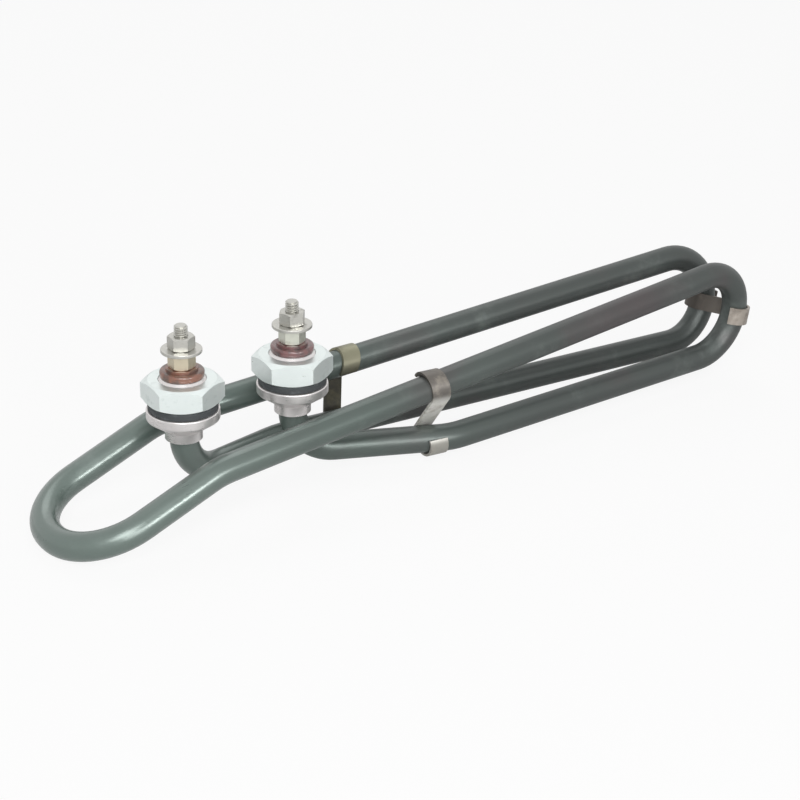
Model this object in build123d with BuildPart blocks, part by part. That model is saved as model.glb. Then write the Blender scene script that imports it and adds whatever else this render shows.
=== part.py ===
"""Tubular heating element: one bent sheath, its heating core, two threaded terminals and three strap clips.

Frame, mm: the origin lies midway between the terminals on the collars' gasket face. X runs from terminal 1
past terminal 2 toward the hairpins, Y to the rear and Z up the studs.
"""

import math
import os

from build123d import *

os.makedirs("parts", exist_ok=True)

# Sheath section
tube_diameter = 8.5
tube_wall = 0.7

# Sheath course: terminal legs
terminal_pitch = 36.5
leg_depth = 22.5
leg_bend_radius = 13.5

# Sheath course: knees that turn the lower runs in beside each other
rear_knee_reach = 18.5
rear_knee_offset = 9.5
rear_knee_depth = 22.5
front_knee_reach = 67.0
front_knee_offset = 13.8
front_knee_depth = 24.8
knee_radius = 25.0

# Sheath course: hairpins
hairpin_reach = 187.5
hairpin_bend_radius = 14.8
lower_run_offset = 6.8
lower_run_depth = 23.4
upper_run_offset = 9.2
upper_run_height = 8.2

# Sheath course: kinks into the low loop, and the loop
kink_reach = 17.5
kink_offset = 19.8
kink_depth = 12.5
kink_radius = 27.0
loop_reach = 62.0
loop_half_width = 19.5
loop_shift = 4.0
loop_depth = 28.8
loop_radius = 19.0

# Core
packing_clearance = 0.03
wire_clearance = 0.04
pin_clearance = 0.08
coil_diameter = 5.0
coil_wall = 0.8
pin_diameter = 3.2
rear_cold_length = 30.0
front_cold_length = 24.0
pin_entry = 8.0

# Terminal heights above the gasket face
neck_bottom = -9.3
neck_top = -6.5
collar_thickness = 2.8
bush_top = 9.9
packing_top = 4.0
seal_top = 6.9
bead_rim_top = 12.2
bead_top = 12.9
washer_seat = 17.6
lock_nut_seat = 18.6
lock_nut_top = 22.6
stud_top = 25.8

# Terminal diameters and fits
neck_diameter = 11.0
collar_diameter = 21.5
collar_round = 0.4
bush_thread = 14.0
bush_chamfer = 0.8
bush_bore_clearance = 0.05
thread_clearance = 0.05
gasket_diameter = 20.5
gasket_bore = 14.3
gasket_thickness = 2.3
gasket_round = 0.5
mounting_nut_across_flats = 21.0
mounting_nut_height = 7.0
seal_clearance = 0.03
bead_diameter = 13.0
bead_boss_diameter = 9.4
bead_round = 0.8
bead_spigot_clearance = 0.12
bead_bore_clearance = 0.1
stud_thread = 4.0
stud_chamfer = 0.5
stud_nut_across_flats = 7.0
washer_diameter = 12.0
washer_bore = 4.3
washer_round = 0.2
nut_face_share = 0.95
nut_chamfer_slope = 30.0
lock_nut_turns = {-1: 0.0, 1: 22.0}

# Clips
strap_width = 6.0
strap_thickness = 0.8
strap_clearance = 0.25
strap_seat_clearance = 0.03
left_clip_reach = 46.0
left_clip_skew = 5.0
left_clip_upper_wrap = 228.0
left_clip_lower_wrap = 205.0
middle_clip_reach = 58.0
middle_clip_skew = -2.5
middle_clip_start = 110.0
middle_clip_finish = -120.0
right_clip_drop = 2.4
right_clip_width = 5.7
right_clip_clearance = 0.45
right_clip_inset = 0.15
right_clip_start = 124.0
right_clip_finish = -110.0

tube_radius = tube_diameter / 2
tube_bore_radius = tube_radius - tube_wall
pin_radius = pin_diameter / 2
stud_radius = stud_thread / 2
coil_radius = coil_diameter / 2


def course_point(reach, offset, height):
    """A corner of the sheath's course."""
    return Vector(reach, offset, height)


def toward(start, end, distance):
    """The point at a distance from start on the way to end."""
    return start + (end - start).normalized() * distance


def station(start, end, reach):
    """The point of the straight run from start to end at a given X."""
    return start + (end - start) * ((reach - start.X) / (end.X - start.X))


def rounded_course(corners, radii):
    """A centre line through the corners with a true arc at each bend."""
    with BuildLine() as course:
        FilletPolyline(*corners, radius=radii)
    return course.line


def start_plane(course):
    """The plane square to a centre line at its start."""
    return Plane(origin=course @ 0, z_dir=course % 0)


rear_leg_corner = course_point(-terminal_pitch / 2, 0, -leg_depth)
rear_knee = course_point(rear_knee_reach, rear_knee_offset, -rear_knee_depth)
rear_lower_end = course_point(hairpin_reach, lower_run_offset, -lower_run_depth)
rear_upper_end = course_point(hairpin_reach, upper_run_offset, upper_run_height)
rear_kink = course_point(-kink_reach, kink_offset, -kink_depth)
rear_loop_corner = course_point(-loop_reach, loop_half_width - loop_shift, -loop_depth)
front_loop_corner = course_point(-loop_reach, -loop_half_width - loop_shift, -loop_depth)
front_kink = course_point(-kink_reach, -kink_offset, -kink_depth)
front_upper_end = course_point(hairpin_reach, -upper_run_offset, upper_run_height)
front_lower_end = course_point(hairpin_reach, -lower_run_offset, -lower_run_depth)
front_knee = course_point(front_knee_reach, -front_knee_offset, -front_knee_depth)
front_leg_corner = course_point(terminal_pitch / 2, 0, -leg_depth)

heated_corners = [
    rear_lower_end,
    rear_upper_end,
    rear_kink,
    rear_loop_corner,
    front_loop_corner,
    front_kink,
    front_upper_end,
    front_lower_end,
]
heated_radii = [
    hairpin_bend_radius,
    hairpin_bend_radius,
    kink_radius,
    loop_radius,
    loop_radius,
    kink_radius,
    hairpin_bend_radius,
    hairpin_bend_radius,
]
cold_radii = [leg_bend_radius, knee_radius]
sheath_corners = [rear_leg_corner, rear_knee, *heated_corners, front_knee, front_leg_corner]
sheath_radii = [*cold_radii, *heated_radii, *reversed(cold_radii)]


def terminal_point(side, height):
    """A point on the axis of the terminal on the given side."""
    return Vector(side * terminal_pitch / 2, 0, height)


sheath_course = rounded_course(
    [terminal_point(-1, bush_top), *sheath_corners, terminal_point(1, bush_top)], sheath_radii
)
packing_course = rounded_course(
    [terminal_point(-1, packing_top), *sheath_corners, terminal_point(1, packing_top)], sheath_radii
)
rear_coil_end = toward(rear_knee, rear_lower_end, rear_cold_length)
front_coil_end = toward(front_knee, front_lower_end, front_cold_length)
coil_course = rounded_course([rear_coil_end, *heated_corners, front_coil_end], heated_radii)
coil_space_course = rounded_course(
    [
        toward(rear_coil_end, rear_knee, wire_clearance),
        *heated_corners,
        toward(front_coil_end, front_knee, wire_clearance),
    ],
    heated_radii,
)
rear_pin_end = toward(rear_coil_end, rear_lower_end, pin_entry)
front_pin_end = toward(front_coil_end, front_lower_end, pin_entry)
pin_courses = {
    -1: rounded_course([terminal_point(-1, bead_top), rear_leg_corner, rear_knee, rear_pin_end], cold_radii),
    1: rounded_course([terminal_point(1, bead_top), front_leg_corner, front_knee, front_pin_end], cold_radii),
}

with BuildPart() as heater_sheath:
    with BuildSketch(start_plane(sheath_course)):
        Circle(tube_radius)
        Circle(tube_bore_radius, mode=Mode.SUBTRACT)
    sweep(path=sheath_course)

heater_sheath.part.label = "heater_sheath"
export_step(heater_sheath.part, "parts/heater_sheath.step")

with BuildPart() as resistance_coil:
    with BuildSketch(start_plane(coil_course)):
        Circle(coil_radius)
        Circle(coil_radius - coil_wall, mode=Mode.SUBTRACT)
    sweep(path=coil_course)

resistance_coil.part.label = "resistance_coil"
export_step(resistance_coil.part, "parts/resistance_coil.step")

with BuildPart() as magnesia_filling:
    with BuildSketch(start_plane(packing_course)):
        Circle(tube_bore_radius - packing_clearance)
    sweep(path=packing_course)
    with BuildSketch(start_plane(coil_space_course)):
        Circle(coil_radius + wire_clearance)
        Circle(coil_radius - coil_wall - wire_clearance, mode=Mode.SUBTRACT)
    sweep(path=coil_space_course, mode=Mode.SUBTRACT)
    for pin_course in pin_courses.values():
        with BuildSketch(start_plane(pin_course)):
            Circle(pin_radius + pin_clearance)
        sweep(path=pin_course, mode=Mode.SUBTRACT)

magnesia_filling.part.label = "magnesia_filling"
export_step(magnesia_filling.part, "parts/magnesia_filling.step")


def hexagon_nut(side, seat, across_flats, height, thread, turn=0.0):
    """A hexagon nut on a terminal, turned from square to X, its corners cut back to a cone on both faces."""
    flat_radius = across_flats / 2
    corner_radius = flat_radius / math.cos(math.radians(30))
    face_radius = flat_radius * nut_face_share
    chamfer_height = (corner_radius - face_radius) * math.tan(math.radians(nut_chamfer_slope))
    base = Plane(origin=terminal_point(side, seat))
    with BuildPart() as nut:
        with BuildSketch(base):
            RegularPolygon(flat_radius, 6, major_radius=False, rotation=30 + turn)
            Circle(thread / 2 + thread_clearance, mode=Mode.SUBTRACT)
        extrude(amount=height)
        with BuildSketch(Plane(origin=base.origin, x_dir=(1, 0, 0), z_dir=(0, -1, 0))):
            with BuildLine():
                Polyline(
                    (0, 0),
                    (face_radius, 0),
                    (corner_radius, chamfer_height),
                    (corner_radius, height - chamfer_height),
                    (face_radius, height),
                    (0, height),
                    close=True,
                )
            make_face()
        revolve(axis=Axis(base.origin, (0, 0, 1)), mode=Mode.INTERSECT)
    return nut


for number, side in ((1, -1), (2, 1)):
    axis_foot = terminal_point(side, 0)
    terminal_axis = Axis(axis_foot, (0, 0, 1))
    profile_plane = Plane(origin=axis_foot, x_dir=(1, 0, 0), z_dir=(0, -1, 0))

    with BuildPart() as threaded_bush:
        with BuildSketch(profile_plane):
            with BuildLine():
                Polyline(
                    (tube_radius + bush_bore_clearance, neck_bottom),
                    (neck_diameter / 2, neck_bottom),
                    (neck_diameter / 2, neck_top),
                    (collar_diameter / 2, -collar_thickness),
                    (collar_diameter / 2, 0),
                    (bush_thread / 2, 0),
                    (bush_thread / 2, bush_top - bush_chamfer),
                    (bush_thread / 2 - bush_chamfer, bush_top),
                    (tube_radius + bush_bore_clearance, bush_top),
                    close=True,
                )
            make_face()
        revolve(axis=terminal_axis)
        collar_rims = threaded_bush.edges().filter_by(
            lambda rim: rim.geom_type == GeomType.CIRCLE and rim.radius > gasket_diameter / 2
        )
        fillet(collar_rims, collar_round)

    threaded_bush.part.label = f"threaded_bush_{number}"
    export_step(threaded_bush.part, f"parts/threaded_bush_{number}.step")

    with BuildPart() as gasket:
        with BuildSketch(Plane(origin=axis_foot)):
            Circle(gasket_diameter / 2)
            Circle(gasket_bore / 2, mode=Mode.SUBTRACT)
        extrude(amount=gasket_thickness)
        gasket_rims = gasket.edges().filter_by(GeomType.CIRCLE).sort_by(SortBy.RADIUS)[-2:]
        fillet(gasket_rims, gasket_round)

    gasket.part.label = f"gasket_{number}"
    export_step(gasket.part, f"parts/gasket_{number}.step")

    mounting_nut = hexagon_nut(
        side, gasket_thickness, mounting_nut_across_flats, mounting_nut_height, bush_thread
    )
    mounting_nut.part.label = f"mounting_nut_{number}"
    export_step(mounting_nut.part, f"parts/mounting_nut_{number}.step")

    with BuildPart() as end_seal:
        with BuildSketch(Plane(origin=terminal_point(side, packing_top))):
            Circle(tube_bore_radius - seal_clearance)
            Circle(pin_radius + seal_clearance, mode=Mode.SUBTRACT)
        extrude(amount=seal_top - packing_top)

    end_seal.part.label = f"end_seal_{number}"
    export_step(end_seal.part, f"parts/end_seal_{number}.step")

    with BuildPart() as insulator:
        with BuildSketch(profile_plane):
            with BuildLine():
                Polyline(
                    (pin_radius + bead_bore_clearance, seal_top),
                    (tube_bore_radius - bead_spigot_clearance, seal_top),
                    (tube_bore_radius - bead_spigot_clearance, bush_top),
                    (bead_diameter / 2, bush_top),
                    (bead_diameter / 2, bead_rim_top),
                    (bead_boss_diameter / 2, bead_rim_top),
                    (bead_boss_diameter / 2, bead_top),
                    (pin_radius + bead_bore_clearance, bead_top),
                    close=True,
                )
            make_face()
        revolve(axis=terminal_axis)
        bead_rims = insulator.edges().filter_by(GeomType.CIRCLE).sort_by(SortBy.RADIUS)[-2:]
        fillet(bead_rims, bead_round)

    insulator.part.label = f"insulator_{number}"
    export_step(insulator.part, f"parts/insulator_{number}.step")

    with BuildPart() as terminal_pin:
        with BuildSketch(start_plane(pin_courses[side])):
            Circle(pin_radius)
        sweep(path=pin_courses[side])
        with BuildSketch(Plane(origin=terminal_point(side, bead_top))):
            Circle(stud_radius)
        extrude(amount=stud_top - bead_top)
        stud_end = terminal_pin.edges().filter_by(GeomType.CIRCLE).sort_by(Axis.Z)[-1]
        chamfer(stud_end, stud_chamfer)

    terminal_pin.part.label = f"terminal_pin_{number}"
    export_step(terminal_pin.part, f"parts/terminal_pin_{number}.step")

    terminal_nut = hexagon_nut(
        side, bead_top, stud_nut_across_flats, washer_seat - bead_top, stud_thread
    )
    terminal_nut.part.label = f"terminal_nut_{number}"
    export_step(terminal_nut.part, f"parts/terminal_nut_{number}.step")

    with BuildPart() as terminal_washer:
        with BuildSketch(Plane(origin=terminal_point(side, washer_seat))):
            Circle(washer_diameter / 2)
            Circle(washer_bore / 2, mode=Mode.SUBTRACT)
        extrude(amount=lock_nut_seat - washer_seat)
        washer_rims = terminal_washer.edges().filter_by(GeomType.CIRCLE).sort_by(SortBy.RADIUS)[-2:]
        fillet(washer_rims, washer_round)

    terminal_washer.part.label = f"terminal_washer_{number}"
    export_step(terminal_washer.part, f"parts/terminal_washer_{number}.step")

    terminal_lock_nut = hexagon_nut(
        side,
        lock_nut_seat,
        stud_nut_across_flats,
        lock_nut_top - lock_nut_seat,
        stud_thread,
        lock_nut_turns[side],
    )
    terminal_lock_nut.part.label = f"terminal_lock_nut_{number}"
    export_step(terminal_lock_nut.part, f"parts/terminal_lock_nut_{number}.step")


def strap_plane(upper, lower):
    """The plane through both tubes at a strap: X from the upper to the lower tube, Y to the rear."""
    down = (lower - upper).normalized()
    return Plane(origin=upper, x_dir=down, z_dir=down.cross(Vector(0, 1, 0)))


def mean_direction(first_start, first_end, second_start, second_end):
    """The direction midway between two runs, which a strap lies square to."""
    return ((first_end - first_start).normalized() + (second_end - second_start).normalized()).normalized()


strap_radius = tube_radius + strap_clearance + strap_thickness / 2

left_upper = station(rear_kink, rear_upper_end, left_clip_reach)
left_lower = station(rear_knee, rear_lower_end, left_clip_reach - left_clip_skew)
left_span = (left_lower - left_upper).length
left_grip = mean_direction(rear_kink, rear_upper_end, rear_knee, rear_lower_end)

with BuildPart() as tube_clip_left:
    with BuildSketch(strap_plane(left_upper, left_lower)):
        with BuildLine():
            upper_wrap = CenterArc((0, 0), strap_radius, 90, left_clip_upper_wrap)
            lower_wrap = CenterArc((left_span, 0), strap_radius, 90, -left_clip_lower_wrap)
            Line(upper_wrap @ 0, lower_wrap @ 0)
        trace(line_width=strap_thickness)
    extrude(amount=strap_width / 2, dir=left_grip, both=True)
    with BuildSketch(start_plane(sheath_course)):
        Circle(tube_radius + strap_seat_clearance)
    sweep(path=sheath_course, mode=Mode.SUBTRACT)

tube_clip_left.part.label = "tube_clip_left"
export_step(tube_clip_left.part, "parts/tube_clip_left.step")

middle_upper = station(front_kink, front_upper_end, middle_clip_reach)
middle_lower = station(front_leg_corner, front_knee, middle_clip_reach - middle_clip_skew)
middle_span = (middle_lower - middle_upper).length
middle_grip = mean_direction(front_kink, front_upper_end, front_leg_corner, front_knee)
crossing_angle = math.degrees(math.acos(2 * strap_radius / middle_span))

with BuildPart() as tube_clip_middle:
    with BuildSketch(strap_plane(middle_upper, middle_lower)):
        with BuildLine():
            upper_wrap = CenterArc(
                (0, 0), strap_radius, middle_clip_start, 360 - crossing_angle - middle_clip_start
            )
            lower_wrap = CenterArc(
                (middle_span, 0),
                strap_radius,
                180 - crossing_angle,
                middle_clip_finish - 180 + crossing_angle,
            )
            Line(upper_wrap @ 1, lower_wrap @ 0)
        trace(line_width=strap_thickness)
    extrude(amount=strap_width / 2, dir=middle_grip, both=True)
    with BuildSketch(start_plane(sheath_course)):
        Circle(tube_radius + strap_seat_clearance)
    sweep(path=sheath_course, mode=Mode.SUBTRACT)

tube_clip_middle.part.label = "tube_clip_middle"
export_step(tube_clip_middle.part, "parts/tube_clip_middle.step")

right_radius = tube_radius + right_clip_clearance + strap_thickness / 2
right_slope = math.asin(right_clip_drop / hairpin_bend_radius)
right_height = (upper_run_height - lower_run_depth) / 2 - right_clip_drop
right_share = (right_height + lower_run_depth) / (upper_run_height + lower_run_depth)
right_offset = lower_run_offset + (upper_run_offset - lower_run_offset) * right_share
right_reach = hairpin_reach - hairpin_bend_radius * (1 - math.cos(right_slope)) - right_clip_inset
right_crossing = math.degrees(math.acos(right_radius / right_offset))
right_plane = Plane(
    origin=(right_reach, -right_offset, right_height),
    x_dir=(0, 1, 0),
    z_dir=(math.sin(right_slope), 0, math.cos(right_slope)),
)

with BuildPart() as tube_clip_right:
    with BuildSketch(right_plane):
        with BuildLine():
            front_wrap = CenterArc(
                (0, 0), right_radius, right_clip_start, 360 - right_crossing - right_clip_start
            )
            rear_wrap = CenterArc(
                (2 * right_offset, 0),
                right_radius,
                180 - right_crossing,
                right_clip_finish - 180 + right_crossing,
            )
            Line(front_wrap @ 1, rear_wrap @ 0)
        trace(line_width=strap_thickness)
    extrude(amount=right_clip_width / 2, both=True)
    with BuildSketch(start_plane(sheath_course)):
        Circle(tube_radius + strap_seat_clearance)
    sweep(path=sheath_course, mode=Mode.SUBTRACT)

tube_clip_right.part.label = "tube_clip_right"
export_step(tube_clip_right.part, "parts/tube_clip_right.step")
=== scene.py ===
"""Dresses the tubular heating element: plated fittings, sheath, beads and threaded studs."""

from __future__ import annotations

import logging
import math
from dataclasses import dataclass, field
from enum import Enum
from typing import Any

import bmesh
import bpy
from mathutils import Matrix, Vector

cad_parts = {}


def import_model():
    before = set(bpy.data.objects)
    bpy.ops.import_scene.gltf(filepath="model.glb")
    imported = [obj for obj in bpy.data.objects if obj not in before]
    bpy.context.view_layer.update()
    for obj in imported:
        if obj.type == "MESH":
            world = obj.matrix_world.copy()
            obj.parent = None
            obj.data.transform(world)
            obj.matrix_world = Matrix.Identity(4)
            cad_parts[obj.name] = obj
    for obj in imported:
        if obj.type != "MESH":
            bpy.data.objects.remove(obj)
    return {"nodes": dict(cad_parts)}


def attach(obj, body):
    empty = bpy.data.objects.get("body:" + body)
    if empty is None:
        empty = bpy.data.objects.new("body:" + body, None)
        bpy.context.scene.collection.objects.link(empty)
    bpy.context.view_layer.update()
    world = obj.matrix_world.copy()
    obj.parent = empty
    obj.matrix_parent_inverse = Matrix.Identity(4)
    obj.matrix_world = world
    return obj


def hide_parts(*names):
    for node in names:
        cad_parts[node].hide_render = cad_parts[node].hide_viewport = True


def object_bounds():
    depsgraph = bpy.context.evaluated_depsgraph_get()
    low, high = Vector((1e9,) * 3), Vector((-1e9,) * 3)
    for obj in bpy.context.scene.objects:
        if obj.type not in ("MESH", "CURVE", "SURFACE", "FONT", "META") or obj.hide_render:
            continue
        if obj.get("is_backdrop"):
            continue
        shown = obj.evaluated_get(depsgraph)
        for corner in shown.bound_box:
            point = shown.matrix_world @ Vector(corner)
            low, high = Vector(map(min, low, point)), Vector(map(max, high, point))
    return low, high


LOG = logging.getLogger("heating_element")

Point = tuple[float, float, float]
Colour = tuple[float, float, float, float]
Nodes = dict[str, bpy.types.Object]
Finishes = dict[str, bpy.types.Material]

MM = 0.001
WELD = 1e-6
WHITE: Colour = (1.0, 1.0, 1.0, 1.0)
NOISE_MIDDLE = 0.5
SRGB_KNEE = 0.04045
SRGB_SLOPE = 12.92
SRGB_LIFT = 0.055
SRGB_POWER = 2.4


def tone(code: str) -> Colour:
    """Turns a display colour code into the linear colour that a shader takes.

    Args:
        code: Six hexadecimal digits.

    Returns:
        Red, green, blue and alpha.
    """
    shares = [int(code[place : place + 2], 16) / 255 for place in (0, 2, 4)]
    red, green, blue = (
        share / SRGB_SLOPE
        if share <= SRGB_KNEE
        else ((share + SRGB_LIFT) / (1 + SRGB_LIFT)) ** SRGB_POWER
        for share in shares
    )
    return (red, green, blue, 1.0)


@dataclass(frozen=True)
class Pattern:
    """One noise pattern, finer as its scale grows, and drawn out where across differs by axis."""

    scale: float
    detail: float
    rough: float
    across: Point | None = None


@dataclass(frozen=True)
class Span:
    """A range from low to high, eased onto bottom to top and held there."""

    low: float
    high: float
    bottom: float = 0.0
    top: float = 1.0


class Wire:
    """A shader socket that adds Math nodes when it stands in an expression."""

    def __init__(self, bench: FinishBench, socket: bpy.types.NodeSocket) -> None:
        """Keeps the socket and the bench that holds its tree."""
        self.bench = bench
        self.socket = socket

    def _maths(self, operation: str, first: Any, second: Any) -> Wire:
        """Adds one Math node and returns its result."""
        return self.bench.add("ShaderNodeMath", {"operation": operation}, {0: first, 1: second})

    def __add__(self, other: Any) -> Wire:
        """This plus other."""
        return self._maths("ADD", self, other)

    def __radd__(self, other: Any) -> Wire:
        """Other plus this."""
        return self._maths("ADD", other, self)

    def __sub__(self, other: Any) -> Wire:
        """This minus other."""
        return self._maths("SUBTRACT", self, other)

    def __rsub__(self, other: Any) -> Wire:
        """Other minus this."""
        return self._maths("SUBTRACT", other, self)

    def __mul__(self, other: Any) -> Wire:
        """This times other."""
        return self._maths("MULTIPLY", self, other)

    def __rmul__(self, other: Any) -> Wire:
        """Other times this."""
        return self._maths("MULTIPLY", other, self)


class FinishBench:
    """Builds one finish's node tree."""

    def __init__(self, name: str) -> None:
        """Starts a material with a Principled shader wired to its output.

        Args:
            name: The material's name.
        """
        self.material = bpy.data.materials.new(name)
        self.material.use_nodes = True
        self.tree = self.material.node_tree
        self.shader = self.tree.nodes["Principled BSDF"]
        self._place: Wire | None = None

    @property
    def place(self) -> Wire:
        """Object coordinates, in metres."""
        if self._place is None:
            self._place = self.add("ShaderNodeTexCoord", {}, {}, "Object")
        return self._place

    def add(
        self, kind: str, settings: dict[str, Any], sockets: dict[Any, Any], result: Any = 0
    ) -> Wire:
        """Adds any node.

        Args:
            kind: The node's type name.
            settings: Properties, set before the sockets.
            sockets: Values or wires by socket name or number.
            result: The output socket's name or number.

        Returns:
            The chosen output as a wire.
        """
        node = self.tree.nodes.new(kind)
        for name, value in settings.items():
            setattr(node, name, value)
        for key, value in sockets.items():
            self.feed(node.inputs[key], value)
        return Wire(self, node.outputs[result])

    def feed(self, socket: bpy.types.NodeSocket, value: Any) -> None:
        """Sets a socket to a value, or links a wire to it.

        Args:
            socket: The input to feed.
            value: A number, a colour, a vector or a wire.
        """
        if isinstance(value, Wire):
            self.tree.links.new(value.socket, socket)
        else:
            socket.default_value = value

    def set(self, **values: Any) -> None:
        """Feeds the Principled shader's sockets, named with underscores for spaces."""
        for name, value in values.items():
            self.feed(self.shader.inputs[name.replace("_", " ")], value)

    def axis(self, name: str) -> Wire:
        """One component of the object coordinates."""
        return self.add("ShaderNodeSeparateXYZ", {}, {0: self.place}, name)

    def stretched(self, across: Point) -> Wire:
        """Object coordinates scaled along each axis."""
        return self.add("ShaderNodeMapping", {}, {"Vector": self.place, "Scale": across})

    def noise(self, pattern: Pattern) -> Wire:
        """Adds a noise pattern.

        Args:
            pattern: The pattern's scale and make-up.

        Returns:
            A value between 0 and 1.
        """
        sockets = {
            "Vector": self.stretched(pattern.across) if pattern.across else self.place,
            "Scale": pattern.scale,
            "Detail": pattern.detail,
            "Roughness": pattern.rough,
        }
        return self.add("ShaderNodeTexNoise", {}, sockets, "Fac")

    def spread(self, value: Wire, span: Span) -> Wire:
        """Takes a value through a span.

        Args:
            value: The value.
            span: The ranges that it comes from and goes to.

        Returns:
            The eased value.
        """
        sockets = {
            "Value": value,
            "From Min": span.low,
            "From Max": span.high,
            "To Min": span.bottom,
            "To Max": span.top,
        }
        return self.add("ShaderNodeMapRange", {"interpolation_type": "SMOOTHSTEP"}, sockets)

    def blend(self, share: Wire, first: Wire | Colour, second: Wire | Colour) -> Wire:
        """A mix of two colours, with share of the second."""
        sockets = {0: share, 6: first, 7: second}
        return self.add("ShaderNodeMix", {"data_type": "RGBA"}, sockets, 2)

    def relief(self, height: Wire, depth: float) -> Wire:
        """A bump normal of the given depth in metres."""
        sockets = {"Height": height, "Distance": depth, "Strength": 1.0}
        return self.add("ShaderNodeBump", {}, sockets)


@dataclass(frozen=True)
class SheathFinish:
    """Oxidised alloy sheath: grey-green at the low loop, browner and darker toward the hairpins."""

    loop_tone: str = "64726c"
    run_tone: str = "4b504e"
    run_span: Span = Span(-0.05, 0.12)
    mottle: Pattern = Pattern(55.0, 5.0, 0.62)
    bloom_tone: str = "88928e"
    bloom_span: Span = Span(0.52, 0.78, 0.0, 0.35)
    scorch: Pattern = Pattern(24.0, 4.0, 0.55)
    scorch_tone: str = "524b4c"
    scorch_span: Span = Span(0.46, 0.70, 0.0, 0.8)
    drawing_marks: Pattern = Pattern(1.0, 3.0, 0.5, (40.0, 1500.0, 1500.0))
    fine_grain: Pattern = Pattern(2600.0, 3.0, 0.6)
    metallic: float = 0.35
    roughness: float = 0.24
    run_dulling: float = 0.10
    mottle_dulling: float = 0.14
    mark_dulling: float = 0.10
    sheen_span: Span = Span(-0.03, 0.015, 0.75, 0.0)
    sheen_roughness: float = 0.26
    mark_share: float = 0.6
    relief_depth: float = 0.00005

    def make(self) -> bpy.types.Material:
        """Builds the sheath's material.

        Returns:
            The material.
        """
        bench = FinishBench("oxidised_sheath")
        along = bench.spread(bench.axis("X"), self.run_span)
        body = bench.blend(along, tone(self.loop_tone), tone(self.run_tone))
        mottle = bench.noise(self.mottle)
        body = bench.blend(bench.spread(mottle, self.bloom_span), body, tone(self.bloom_tone))
        scorch = bench.spread(bench.noise(self.scorch), self.scorch_span) * along
        body = bench.blend(scorch, body, tone(self.scorch_tone))
        marks = bench.noise(self.drawing_marks)
        grain = bench.noise(self.fine_grain)
        dulling = self.roughness + along * self.run_dulling + mottle * self.mottle_dulling
        height = marks * self.mark_share + grain * (1 - self.mark_share)
        bench.set(
            Base_Color=body,
            Metallic=self.metallic,
            Roughness=dulling + (marks - NOISE_MIDDLE) * self.mark_dulling,
            Coat_Weight=bench.spread(bench.axis("X"), self.sheen_span),
            Coat_Roughness=self.sheen_roughness,
            Normal=bench.relief(height, self.relief_depth),
        )
        return bench.material


@dataclass(frozen=True)
class MetalLook:
    """How one plating looks; bare is its share of clean metal."""

    body_tone: str
    stain_tone: str
    roughness: float
    bare: float


class Plating(Enum):
    """The plated and bare metals of the terminals, and the heating wire's."""

    ZINC = MetalLook("e6eeec", "b4c1be", 0.24, 0.62)
    COLLAR = MetalLook("dcd8d7", "aaa3a1", 0.22, 0.80)
    STRAW = MetalLook("cdc3ad", "8d7a58", 0.28, 0.80)
    PALE_STRAW = MetalLook("ced0c4", "8b8a76", 0.28, 0.80)
    STEEL = MetalLook("bebdb7", "6b6862", 0.24, 0.80)
    WIRE = MetalLook("7d7a74", "55514b", 0.35, 1.0)


@dataclass(frozen=True)
class PlatedFinish:
    """Plated metal with handling stains and fine machining marks."""

    plating: Plating
    stain: Pattern = Pattern(260.0, 5.0, 0.6)
    stain_span: Span = Span(0.56, 0.80, 0.0, 0.55)
    stain_cover: float = 0.35
    stain_dulling: float = 0.14
    turning_marks: Pattern = Pattern(1.0, 2.0, 0.5, (300.0, 300.0, 7000.0))
    mark_dulling: float = 0.08
    mark_share: float = 0.5
    pits: Pattern = Pattern(3200.0, 3.0, 0.6)
    relief_depth: float = 0.00004

    def make(self) -> bpy.types.Material:
        """Builds the plated material.

        Returns:
            The material.
        """
        look = self.plating.value
        bench = FinishBench("plated_" + self.plating.name.lower())
        patch = bench.noise(self.stain)
        dirt = bench.spread(patch, self.stain_span)
        marks = bench.noise(self.turning_marks)
        pits = bench.noise(self.pits)
        dulling = look.roughness + patch * self.stain_dulling
        height = marks * self.mark_share + pits * (1 - self.mark_share)
        bench.set(
            Base_Color=bench.blend(dirt, tone(look.body_tone), tone(look.stain_tone)),
            Metallic=look.bare - dirt * self.stain_cover,
            Roughness=dulling + (marks - NOISE_MIDDLE) * self.mark_dulling,
            Normal=bench.relief(height, self.relief_depth),
        )
        return bench.material


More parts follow.
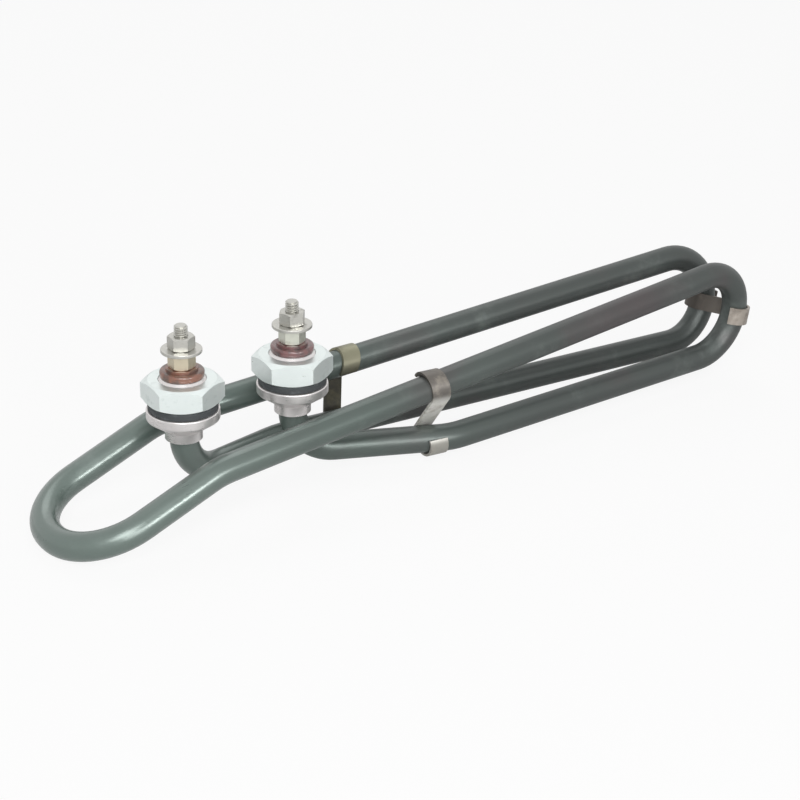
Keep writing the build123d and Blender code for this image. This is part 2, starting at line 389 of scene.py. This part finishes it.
@dataclass(frozen=True)
class StrapFinish:
    """Tarnished strap steel with painted light and shade: its tone changes along one axis from one
    painted tone to another, with an optional painted tone at its tip.
    """

    label: str
    light_shade_start_tone: str
    light_shade_end_tone: str
    stain_tone: str
    axis_name: str
    light_shade_span: Span
    tip_light_tone: str = ""
    tip_light_place: float = 0.0
    tip_light_fade: float = 0.003
    stain: Pattern = Pattern(190.0, 5.0, 0.62)
    stain_span: Span = Span(0.46, 0.72, 0.0, 0.7)
    stain_cover: float = 0.35
    stain_dulling: float = 0.22
    rolling_marks: Pattern = Pattern(1.0, 2.0, 0.5, (2600.0, 400.0, 2600.0))
    mark_share: float = 0.4
    metallic: float = 0.5
    roughness: float = 0.34
    relief_depth: float = 0.00005

    def make(self) -> bpy.types.Material:
        """Builds the strap's material.

        Returns:
            The material.
        """
        bench = FinishBench("tarnished_shaded_strap_" + self.label)
        # The two tones are painted light and shade laid along one axis, not a colour of the steel;
        # the stain pattern below is the real tarnish.
        reach = bench.axis(self.axis_name)
        along = bench.spread(reach, self.light_shade_span)
        body = bench.blend(along, tone(self.light_shade_start_tone), tone(self.light_shade_end_tone))
        # Painted light on the strap's tail, dimmer than the painted light on its crossing.
        if self.tip_light_tone:
            tip_light_span = Span(self.tip_light_place, self.tip_light_place + self.tip_light_fade)
            body = bench.blend(bench.spread(reach, tip_light_span), tone(self.tip_light_tone), body)
        patch = bench.noise(self.stain)
        dirt = bench.spread(patch, self.stain_span)
        marks = bench.noise(self.rolling_marks)
        height = marks * self.mark_share + patch * (1 - self.mark_share)
        bench.set(
            Base_Color=bench.blend(dirt, body, tone(self.stain_tone)),
            Metallic=self.metallic - dirt * self.stain_cover,
            Roughness=self.roughness + patch * self.stain_dulling,
            Normal=bench.relief(height, self.relief_depth),
        )
        return bench.material


@dataclass(frozen=True)
class GasketFinish:
    """Dark moulded rubber with a dusty bloom."""

    body_tone: str = "3c4042"
    dust_tone: str = "6b6f70"
    dust: Pattern = Pattern(420.0, 5.0, 0.65)
    dust_span: Span = Span(0.48, 0.75, 0.0, 0.6)
    dust_dulling: float = 0.2
    fine_grain: Pattern = Pattern(3000.0, 2.0, 0.5)
    roughness: float = 0.62
    relief_depth: float = 0.00005

    def make(self) -> bpy.types.Material:
        """Builds the gasket's material.

        Returns:
            The material.
        """
        bench = FinishBench("gasket_rubber")
        dust = bench.noise(self.dust)
        cover = bench.spread(dust, self.dust_span)
        bench.set(
            Base_Color=bench.blend(cover, tone(self.body_tone), tone(self.dust_tone)),
            Roughness=self.roughness + dust * self.dust_dulling,
            Normal=bench.relief(bench.noise(self.fine_grain), self.relief_depth),
        )
        return bench.material


@dataclass(frozen=True)
class BeadFinish:
    """Fired insulating bead: brown body, scorched patches, and paler chips in its glaze."""

    label: str
    body_tone: str = "825543"
    scorch_tone: str = "56423a"
    chip_tone: str = "a89684"
    scorch: Pattern = Pattern(330.0, 5.0, 0.6)
    scorch_span: Span = Span(0.42, 0.66)
    scorch_dulling: float = 0.22
    chips: Pattern = Pattern(900.0, 4.0, 0.7)
    chip_span: Span = Span(0.60, 0.74, 0.0, 0.5)
    fine_grain: Pattern = Pattern(2500.0, 3.0, 0.6)
    grain_share: float = 0.6
    roughness: float = 0.42
    glaze: float = 0.95
    glaze_loss: Span = Span(0.55, 0.75, 0.0, 0.6)
    glaze_roughness: float = 0.14
    relief_depth: float = 0.00006

    def make(self) -> bpy.types.Material:
        """Builds the bead's material.

        Returns:
            The material.
        """
        bench = FinishBench("fired_bead_" + self.label)
        cloud = bench.noise(self.scorch)
        scorch = bench.spread(cloud, self.scorch_span)
        body = bench.blend(scorch, tone(self.body_tone), tone(self.scorch_tone))
        chips = bench.noise(self.chips)
        body = bench.blend(bench.spread(chips, self.chip_span), body, tone(self.chip_tone))
        grain = bench.noise(self.fine_grain)
        height = grain * self.grain_share + chips * (1 - self.grain_share)
        bench.set(
            Base_Color=body,
            Roughness=self.roughness + cloud * self.scorch_dulling,
            Coat_Weight=self.glaze - bench.spread(chips, self.glaze_loss),
            Coat_Roughness=self.glaze_roughness,
            Normal=bench.relief(height, self.relief_depth),
        )
        return bench.material


@dataclass(frozen=True)
class PackedFinish:
    """Packed powder or poured seal: a pale matte body with a fine grain."""

    label: str
    body_tone: str
    shade_tone: str
    shade: Pattern = Pattern(500.0, 5.0, 0.6)
    shade_dulling: float = 0.15
    fine_grain: Pattern = Pattern(4000.0, 3.0, 0.6)
    roughness: float = 0.8
    relief_depth: float = 0.00005

    def make(self) -> bpy.types.Material:
        """Builds the pale material.

        Returns:
            The material.
        """
        bench = FinishBench(self.label)
        cloud = bench.noise(self.shade)
        bench.set(
            Base_Color=bench.blend(cloud, tone(self.body_tone), tone(self.shade_tone)),
            Roughness=self.roughness + cloud * self.shade_dulling,
            Normal=bench.relief(bench.noise(self.fine_grain), self.relief_depth),
        )
        return bench.material


def shared_finishes() -> Finishes:
    """Builds the finishes that several pieces share.

    Returns:
        The materials by short name.
    """
    collar_stain = Pattern(180.0, 5.0, 0.6)
    return {
        "zinc": PlatedFinish(Plating.ZINC).make(),
        "straw": PlatedFinish(Plating.STRAW).make(),
        "steel": PlatedFinish(Plating.STEEL).make(),
        "pale_straw": PlatedFinish(Plating.PALE_STRAW).make(),
        "collar": PlatedFinish(Plating.COLLAR, collar_stain).make(),
        "wire": PlatedFinish(Plating.WIRE).make(),
        "rubber": GasketFinish().make(),
        "packing": PackedFinish("packed_magnesia", "e9e7e0", "cfccc2").make(),
        "seal": PackedFinish("poured_seal", "d9d3c6", "b3aa99").make(),
    }


def dress(node: bpy.types.Object, material: bpy.types.Material) -> None:
    """Gives an object one finish, on every slot that it has or on a new one.

    Args:
        node: A node of the frame, or a new piece.
        material: The finish.
    """
    if not node.material_slots:
        node.data.materials.append(material)
    for place in node.material_slots:
        place.material = material
    LOG.info("dressed %s in %s", node.name, material.name)


def link_shape(shape: bmesh.types.BMesh, name: str) -> bpy.types.Object:
    """Puts a shape into the scene as an object of its own.

    Args:
        shape: The modelled shape, which is freed.
        name: The new object's name.

    Returns:
        The linked object.
    """
    mesh = bpy.data.meshes.new(name)
    shape.to_mesh(mesh)
    shape.free()
    piece = bpy.data.objects.new(name, mesh)
    bpy.context.scene.collection.objects.link(piece)
    return piece


def finish_piece(shape: bmesh.types.BMesh, name: str) -> bpy.types.Object:
    """Turns a finished shape into an object that rides on the element.

    Args:
        shape: The modelled shape, which is freed.
        name: The new object's name.

    Returns:
        The linked object.
    """
    bmesh.ops.remove_doubles(shape, verts=shape.verts, dist=WELD)
    bmesh.ops.recalc_face_normals(shape, faces=shape.faces)
    piece = link_shape(shape, name)
    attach(piece, "root")
    LOG.info("built %s with %d faces", name, len(piece.data.polygons))
    return piece


@dataclass(frozen=True)
class StudThread:
    """The thread wound on the outer end of a stud."""

    foot: float = 12.9 * MM
    top: float = 25.8 * MM
    radius: float = 2.0 * MM
    depth: float = 0.38 * MM
    pitch: float = 0.7 * MM
    half_crest: float = 0.09 * MM
    end_chamfer: float = 0.45 * MM
    steps_a_turn: int = 48
    spare_turns: int = 2

    def profile(self) -> tuple[tuple[float, float], ...]:
        """Works out the corners of one turn, from root to root.

        Returns:
            A radius and a height for each corner.
        """
        root = self.radius - self.depth
        return (
            (root, 0.0),
            (self.radius, self.pitch / 2 - self.half_crest),
            (self.radius, self.pitch / 2 + self.half_crest),
            (root, self.pitch),
        )

    def wind(self, shape: bmesh.types.BMesh) -> None:
        """Winds the profile up the axis, past both ends of the thread.

        Args:
            shape: The empty shape that takes the thread.
        """
        turns = math.ceil((self.top - self.foot) / self.pitch) + self.spare_turns
        start = self.foot - self.pitch
        corners = [shape.verts.new((reach, 0.0, start + rise)) for reach, rise in self.profile()]
        edges = [shape.edges.new(pair) for pair in zip(corners, corners[1:])]
        bmesh.ops.spin(
            shape,
            geom=corners + edges,
            cent=(0.0, 0.0, 0.0),
            axis=(0.0, 0.0, 1.0),
            dvec=(0.0, 0.0, self.pitch / self.steps_a_turn),
            angle=math.tau * turns,
            steps=self.steps_a_turn * turns,
            use_duplicate=False,
        )
        bmesh.ops.remove_doubles(shape, verts=shape.verts, dist=WELD)

    def close_ends(self, shape: bmesh.types.BMesh) -> None:
        """Cuts the wound thread square at its foot and top, and caps both cuts.

        Args:
            shape: The wound thread.
        """
        for height, facing in ((self.foot, -1.0), (self.top, 1.0)):
            cut = bmesh.ops.bisect_plane(
                shape,
                geom=shape.verts[:] + shape.edges[:] + shape.faces[:],
                plane_co=(0.0, 0.0, height),
                plane_no=(0.0, 0.0, facing),
                clear_outer=True,
            )
            rim = [item for item in cut["geom_cut"] if isinstance(item, bmesh.types.BMEdge)]
            bmesh.ops.contextual_create(shape, geom=rim)

    def chamfer_top(self, shape: bmesh.types.BMesh) -> None:
        """Draws the last crests in to a cone at 45 degrees.

        Args:
            shape: The closed thread.
        """
        for vert in shape.verts:
            room = self.radius - max(0.0, vert.co.z - (self.top - self.end_chamfer))
            reach = vert.co.xy.length
            if reach > room:
                vert.co.xy *= room / reach

    def model(self) -> bmesh.types.BMesh:
        """Models the thread on the frame's upright axis.

        Returns:
            The thread as a closed shape.
        """
        shape = bmesh.new()
        self.wind(shape)
        self.close_ends(shape)
        self.chamfer_top(shape)
        return shape


@dataclass
class Terminal:
    """One terminal: bush, gasket, large nut, bead, washer, small nuts and threaded stud."""

    number: int
    side: int
    bead: BeadFinish
    nut_finish: str
    thread: StudThread = StudThread()
    spacing: float = 36.5 * MM
    join_gap: float = 0.002 * MM

    def named(self, part: str) -> str:
        """This terminal's node of that part."""
        return f"{part}_{self.number}"

    def lower_pin(self, pin: bpy.types.Object) -> bpy.types.Mesh:
        """Copies the pin without the end that carries the thread.

        Args:
            pin: The frame's pin.

        Returns:
            The lower part as a mesh of its own.
        """
        shape = bmesh.new()
        shape.from_mesh(pin.data)
        bmesh.ops.remove_doubles(shape, verts=shape.verts, dist=WELD)
        bmesh.ops.bisect_plane(
            shape,
            geom=shape.verts[:] + shape.edges[:] + shape.faces[:],
            plane_co=(0.0, 0.0, self.thread.foot - self.join_gap),
            plane_no=(0.0, 0.0, 1.0),
            clear_outer=True,
        )
        lower = bpy.data.meshes.new(pin.name + "_lower")
        shape.to_mesh(lower)
        shape.free()
        return lower

    def pin_piece(self, nodes: Nodes) -> bpy.types.Object:
        """Joins the threaded stud to a copy of the pin below it.

        Args:
            nodes: The frame's nodes.

        Returns:
            The piece that stands for the pin's node.
        """
        name = self.named("terminal_pin")
        lower = self.lower_pin(nodes[name])
        shape = self.thread.model()
        axis_place = Vector((self.side * self.spacing / 2, 0.0, 0.0))
        bmesh.ops.translate(shape, verts=shape.verts, vec=axis_place)
        shape.from_mesh(lower)
        bpy.data.meshes.remove(lower)
        piece = finish_piece(shape, self.named("threaded_pin"))
        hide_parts(name)
        return piece

    def build(self, nodes: Nodes, finishes: Finishes) -> None:
        """Builds the stud and dresses every node of this terminal.

        Args:
            nodes: The frame's nodes.
            finishes: The shared finishes by name.
        """
        dress(self.pin_piece(nodes), finishes["steel"])
        for part, finish in (
            ("threaded_bush", "collar"),
            ("mounting_nut", "zinc"),
            ("gasket", "rubber"),
            ("terminal_nut", self.nut_finish),
            ("terminal_washer", "steel"),
            ("terminal_lock_nut", "steel"),
            ("end_seal", "seal"),
        ):
            dress(nodes[self.named(part)], finishes[finish])
        dress(nodes[self.named("insulator")], self.bead.make())


@dataclass
class HeaterBody:
    """The sheath with its core, and the straps that tie its runs."""

    straps: tuple[StrapFinish, ...] = (
        # Left strap: painted shadow, near black at its low end and lighter toward the top.
        StrapFinish("left", "3c3a33", "8d8b75", "58543f", "Z", Span(-0.012, 0.0)),
        # Middle strap: painted light on its low crossing, near white, darkening up toward its upper
        # band.
        StrapFinish(
            "middle",
            "eeece6",
            "67635e",
            "9c958a",
            "Z",
            Span(-0.0095, -0.0055),
            tip_light_tone="a09e97",
            tip_light_place=-0.0245,
        ),
        # Right strap: painted shade, darker toward the rear.
        StrapFinish("right", "a39b92", "524d48", "655c53", "Y", Span(-0.010, 0.004)),
    )

    def build(self, nodes: Nodes, finishes: Finishes) -> None:
        """Dresses the sheath, the core and the straps.

        Args:
            nodes: The frame's nodes.
            finishes: The shared finishes by name.
        """
        dress(nodes["heater_sheath"], SheathFinish().make())
        dress(nodes["magnesia_filling"], finishes["packing"])
        dress(nodes["resistance_coil"], finishes["wire"])
        for strap in self.straps:
            dress(nodes["tube_clip_" + strap.label], strap.make())


@dataclass(frozen=True)
class SoftLamp:
    """A square soft lamp aimed at a point; a gloss-only lamp shows in highlights alone."""

    name: str
    place: Point
    size: float
    power: float
    aim: Point = (0.05, 0.0, -0.01)
    gloss_only: bool = False

    def hang(self) -> None:
        """Adds the lamp to the scene."""
        light = bpy.data.lights.new(self.name, "AREA")
        light.shape = "SQUARE"
        light.size = self.size
        light.energy = self.power
        lamp = bpy.data.objects.new(self.name, light)
        bpy.context.scene.collection.objects.link(lamp)
        lamp.visible_diffuse = not self.gloss_only
        lamp.location = self.place
        beam = Vector(self.aim) - Vector(self.place)
        lamp.rotation_euler = beam.to_track_quat("-Z", "Y").to_euler()


@dataclass
class Studio:
    """White floor with a soft shadow, white surroundings, soft lamps and the camera."""

    floor_size: float = 6.0
    floor_cells: int = 8
    floor_tone: str = "f4f4f4"
    floor_roughness: float = 0.9
    floor_glow: float = 0.90
    floor_sheen: float = 0.20
    surround_light: float = 0.26
    camera_place: Point = (-0.25180, -0.46150, 0.23660)
    camera_right: Point = (0.83543, -0.54931, 0.01758)
    camera_up: Point = (0.21362, 0.35402, 0.91051)
    sensor: float = 36.0
    lens: float = 88.203
    near_clip: float = 0.01
    lamps: list[SoftLamp] = field(
        default_factory=lambda: [
            SoftLamp("key_lamp", (-0.42, -0.72, 0.62), 0.55, 6.2),
            SoftLamp("front_lamp", (-0.18, -0.97, 0.24), 0.42, 2.6),
            SoftLamp(
                "streak_lamp",
                (0.211, -0.940, 0.269),
                0.18,
                2.6,
                aim=(-0.04, -0.02, -0.02),
                gloss_only=True,
            ),
            SoftLamp("rim_lamp", (0.30, 0.55, 0.85), 0.6, 1.6),
        ]
    )

    def floor_finish(self) -> bpy.types.Material:
        """Makes a matte floor that glows toward the camera and, faintly, in reflections.

        Returns:
            The material.
        """
        bench = FinishBench("studio_floor")
        bench.set(Base_Color=tone(self.floor_tone), Roughness=self.floor_roughness)
        seen = bench.add("ShaderNodeLightPath", {}, {}, "Is Camera Ray")
        gloss = Wire(bench, seen.socket.node.outputs["Is Glossy Ray"])
        glow = bench.add("ShaderNodeEmission", {}, {"Color": WHITE, "Strength": 1.0})
        share = seen * self.floor_glow + gloss * self.floor_sheen
        base = Wire(bench, bench.shader.outputs[0])
        mixed = bench.add("ShaderNodeMixShader", {}, {0: share, 1: base, 2: glow})
        bench.feed(bench.tree.nodes["Material Output"].inputs["Surface"], mixed)
        return bench.material

    def lay_floor(self, height: float) -> None:
        """Lays the floor.

        Args:
            height: The floor's height.
        """
        finish = self.floor_finish()
        shape = bmesh.new()
        bmesh.ops.create_grid(
            shape,
            x_segments=self.floor_cells,
            y_segments=self.floor_cells,
            size=self.floor_size / 2,
        )
        bmesh.ops.translate(shape, verts=shape.verts, vec=(0.0, 0.0, height))
        floor = link_shape(shape, "studio_floor")
        floor.data.materials.append(finish)
        floor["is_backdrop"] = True

    def surround(self) -> None:
        """Lights the scene evenly and shows white to the camera and in reflections."""
        world = bpy.data.worlds.new("studio_world")
        world.use_nodes = True
        bpy.context.scene.world = world
        nodes = world.node_tree.nodes
        links = world.node_tree.links
        path = nodes.new("ShaderNodeLightPath")
        shown = nodes.new("ShaderNodeMath")
        shown.operation = "MAXIMUM"
        links.new(path.outputs["Is Camera Ray"], shown.inputs[0])
        links.new(path.outputs["Is Glossy Ray"], shown.inputs[1])
        level = nodes.new("ShaderNodeMapRange")
        level.inputs["To Min"].default_value = self.surround_light
        level.inputs["To Max"].default_value = 1.0
        links.new(shown.outputs[0], level.inputs["Value"])
        background = nodes["Background"]
        background.inputs["Color"].default_value = WHITE
        links.new(level.outputs[0], background.inputs["Strength"])

    def place_camera(self) -> None:
        """Sets the camera by its place and its right and up directions."""
        right = Vector(self.camera_right).normalized()
        up = Vector(self.camera_up).normalized()
        turn = Matrix((right, up, right.cross(up))).transposed()
        data = bpy.data.cameras.new("studio_camera")
        data.sensor_width = self.sensor
        data.lens = self.lens
        data.clip_start = self.near_clip
        camera = bpy.data.objects.new("studio_camera", data)
        bpy.context.scene.collection.objects.link(camera)
        camera.matrix_world = Matrix.Translation(Vector(self.camera_place)) @ turn.to_4x4()
        bpy.context.scene.camera = camera

    def build(self, floor_height: float) -> None:
        """Builds the studio round the element.

        Args:
            floor_height: Where the element stands.
        """
        self.lay_floor(floor_height)
        self.surround()
        for lamp in self.lamps:
            lamp.hang()
        self.place_camera()
        bpy.context.scene.view_settings.view_transform = "Standard"
        LOG.info("studio ready")


def main() -> None:
    """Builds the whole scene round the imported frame."""
    logging.basicConfig(level=logging.INFO, format="%(message)s")
    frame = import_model()
    cad_box = [list(corner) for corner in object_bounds()]
    nodes = frame["nodes"]
    finishes = shared_finishes()
    HeaterBody().build(nodes, finishes)
    bead_one = BeadFinish("one")
    bead_two = BeadFinish("two", "734b4a", "4a3b3b", "9a8f88")
    Terminal(1, -1, bead_one, "straw").build(nodes, finishes)
    Terminal(2, 1, bead_two, "pale_straw").build(nodes, finishes)
    Studio().build(cad_box[0][2])


if __name__ == "__main__":
    main()
